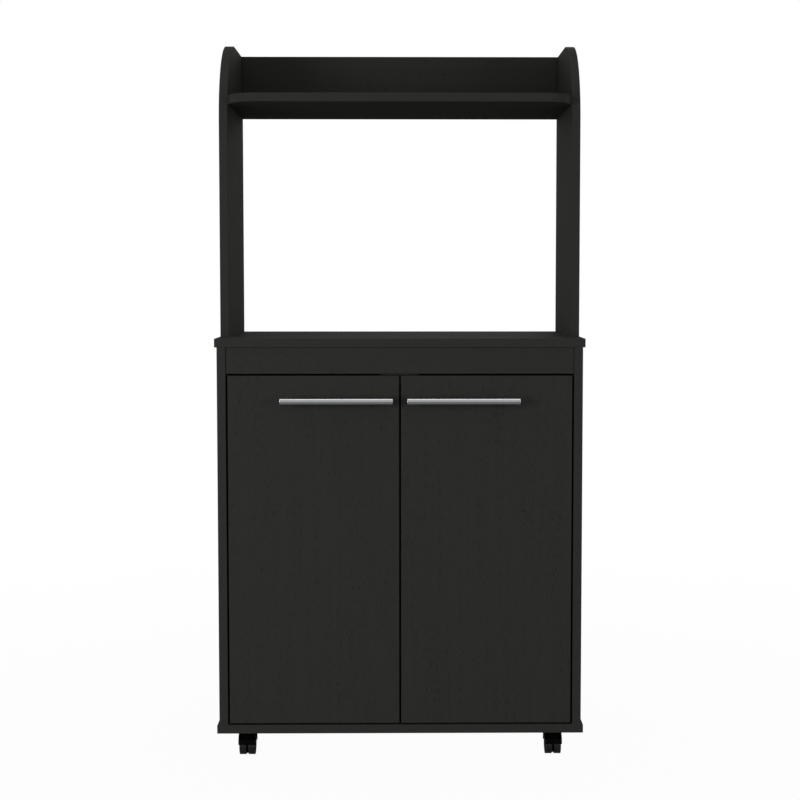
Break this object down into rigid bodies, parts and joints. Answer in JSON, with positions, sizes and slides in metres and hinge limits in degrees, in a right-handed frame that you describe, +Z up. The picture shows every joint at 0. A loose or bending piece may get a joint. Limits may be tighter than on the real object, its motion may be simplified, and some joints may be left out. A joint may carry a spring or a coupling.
{
  "type": "microwave cart",
  "caption": "Tall narrow kitchen cart on hooded casters: two-door cupboard with bar handles, worktop, and a round-cornered upper frame with a shelf and back rail over an open microwave bay.",
  "frame": {"origin": "centre of the whole cart's bounding box, handles included, on the floor under the casters", "axes": "+X to the right as seen from the front, across the two doors; +Y to the back, from the handles to the back panel; +Z up, from the casters to the back rail"},
  "size_m": [0.63, 0.394, 1.245],
  "materials": {
    "black_laminate": "particle board faced with matte black melamine",
    "hardboard": "thin black-printed hardboard",
    "satin_nickel": "satin nickel, brushed along the bar",
    "nickel_plate": "bright nickel plate on pressed steel",
    "zinc_plate": "bright zinc plate on steel",
    "die_cast_zinc": "as-cast zinc",
    "beech": "fluted beech, unfinished",
    "cap_plastic": "black plastic screw cover",
    "catch_plastic": "black plastic",
    "ferrite": "ground ferrite",
    "gloss_black_plastic": "gloss black nylon",
    "wheel_plastic": "satin black nylon"
  },
  "bodies": {
    "carcass": {"base_panel": "black_laminate", "side_panel_left": "black_laminate", "side_panel_right": "black_laminate", "worktop": "black_laminate", "fascia_rail": "black_laminate", "back_panel": "hardboard", "back_panel_nails": "zinc_plate", "inner_shelf": "black_laminate", "shelf_pins": "nickel_plate", "upright_left": "black_laminate", "upright_right": "black_laminate", "top_shelf": "black_laminate", "back_rail": "black_laminate", "confirmat_screws": "zinc_plate", "screw_caps": "cap_plastic", "cam_locks": "die_cast_zinc", "cam_bolts": "zinc_plate", "dowels": "beech", "hinge_plates": "nickel_plate", "hinge_arms": "nickel_plate", "hinge_screws": "nickel_plate", "catch_body": "catch_plastic", "catch_magnets": "ferrite", "catch_screws": "zinc_plate", "caster_plates": "zinc_plate", "caster_screws": "zinc_plate"},
    "left_door": {"door_left": "black_laminate", "handle_bar_left": "satin_nickel", "handle_posts_left": "satin_nickel", "handle_screws_left": "zinc_plate", "hinge_cups_left": "nickel_plate", "hinge_pins_left": "zinc_plate", "cup_screws_left": "nickel_plate", "strike_plate_left": "nickel_plate"},
    "right_door": {"door_right": "black_laminate", "handle_bar_right": "satin_nickel", "handle_posts_right": "satin_nickel", "handle_screws_right": "zinc_plate", "hinge_cups_right": "nickel_plate", "hinge_pins_right": "zinc_plate", "cup_screws_right": "nickel_plate", "strike_plate_right": "nickel_plate"},
    "front_left_swivel": {"caster_front_left_housing": "gloss_black_plastic", "caster_front_left_axle": "zinc_plate"},
    "front_left_wheel_l": {"caster_front_left_wheel_l": "wheel_plastic"},
    "front_left_wheel_r": {"caster_front_left_wheel_r": "wheel_plastic"},
    "front_right_swivel": {"caster_front_right_housing": "gloss_black_plastic", "caster_front_right_axle": "zinc_plate"},
    "front_right_wheel_l": {"caster_front_right_wheel_l": "wheel_plastic"},
    "front_right_wheel_r": {"caster_front_right_wheel_r": "wheel_plastic"},
    "rear_left_swivel": {"caster_rear_left_housing": "gloss_black_plastic", "caster_rear_left_axle": "zinc_plate"},
    "rear_left_wheel_l": {"caster_rear_left_wheel_l": "wheel_plastic"},
    "rear_left_wheel_r": {"caster_rear_left_wheel_r": "wheel_plastic"},
    "rear_right_swivel": {"caster_rear_right_housing": "gloss_black_plastic", "caster_rear_right_axle": "zinc_plate"},
    "rear_right_wheel_l": {"caster_rear_right_wheel_l": "wheel_plastic"},
    "rear_right_wheel_r": {"caster_rear_right_wheel_r": "wheel_plastic"}
  },
  "joints": [
    {"name": "left_door_hinge", "type": "hinge", "parent": "carcass", "child": "left_door", "pos_m": [-0.281, -0.155, 0.3675], "axis": [0, 0, -1], "range_deg": [0, 95]},
    {"name": "right_door_hinge", "type": "hinge", "parent": "carcass", "child": "right_door", "pos_m": [0.281, -0.155, 0.3675], "axis": [0, 0, 1], "range_deg": [0, 95]},
    {"name": "front_left_swivel", "type": "hinge", "parent": "carcass", "child": "front_left_swivel", "pos_m": [-0.267, -0.122, 0.043], "axis": [0, 0, 1], "continuous": true},
    {"name": "front_left_wheel_l_spin", "type": "hinge", "parent": "front_left_swivel", "child": "front_left_wheel_l", "pos_m": [-0.27505, -0.11, 0.02], "axis": [1, 0, 0], "continuous": true},
    {"name": "front_left_wheel_r_spin", "type": "hinge", "parent": "front_left_swivel", "child": "front_left_wheel_r", "pos_m": [-0.25895, -0.11, 0.02], "axis": [1, 0, 0], "continuous": true},
    {"name": "front_right_swivel", "type": "hinge", "parent": "carcass", "child": "front_right_swivel", "pos_m": [0.267, -0.122, 0.043], "axis": [0, 0, 1], "continuous": true},
    {"name": "front_right_wheel_l_spin", "type": "hinge", "parent": "front_right_swivel", "child": "front_right_wheel_l", "pos_m": [0.25895, -0.11, 0.02], "axis": [1, 0, 0], "continuous": true},
    {"name": "front_right_wheel_r_spin", "type": "hinge", "parent": "front_right_swivel", "child": "front_right_wheel_r", "pos_m": [0.27505, -0.11, 0.02], "axis": [1, 0, 0], "continuous": true},
    {"name": "rear_left_swivel", "type": "hinge", "parent": "carcass", "child": "rear_left_swivel", "pos_m": [-0.267, 0.156, 0.043], "axis": [0, 0, 1], "continuous": true},
    {"name": "rear_left_wheel_l_spin", "type": "hinge", "parent": "rear_left_swivel", "child": "rear_left_wheel_l", "pos_m": [-0.27505, 0.168, 0.02], "axis": [1, 0, 0], "continuous": true},
    {"name": "rear_left_wheel_r_spin", "type": "hinge", "parent": "rear_left_swivel", "child": "rear_left_wheel_r", "pos_m": [-0.25895, 0.168, 0.02], "axis": [1, 0, 0], "continuous": true},
    {"name": "rear_right_swivel", "type": "hinge", "parent": "carcass", "child": "rear_right_swivel", "pos_m": [0.267, 0.156, 0.043], "axis": [0, 0, 1], "continuous": true},
    {"name": "rear_right_wheel_l_spin", "type": "hinge", "parent": "rear_right_swivel", "child": "rear_right_wheel_l", "pos_m": [0.25895, 0.168, 0.02], "axis": [1, 0, 0], "continuous": true},
    {"name": "rear_right_wheel_r_spin", "type": "hinge", "parent": "rear_right_swivel", "child": "rear_right_wheel_r", "pos_m": [0.27505, 0.168, 0.02], "axis": [1, 0, 0], "continuous": true}
  ]
}
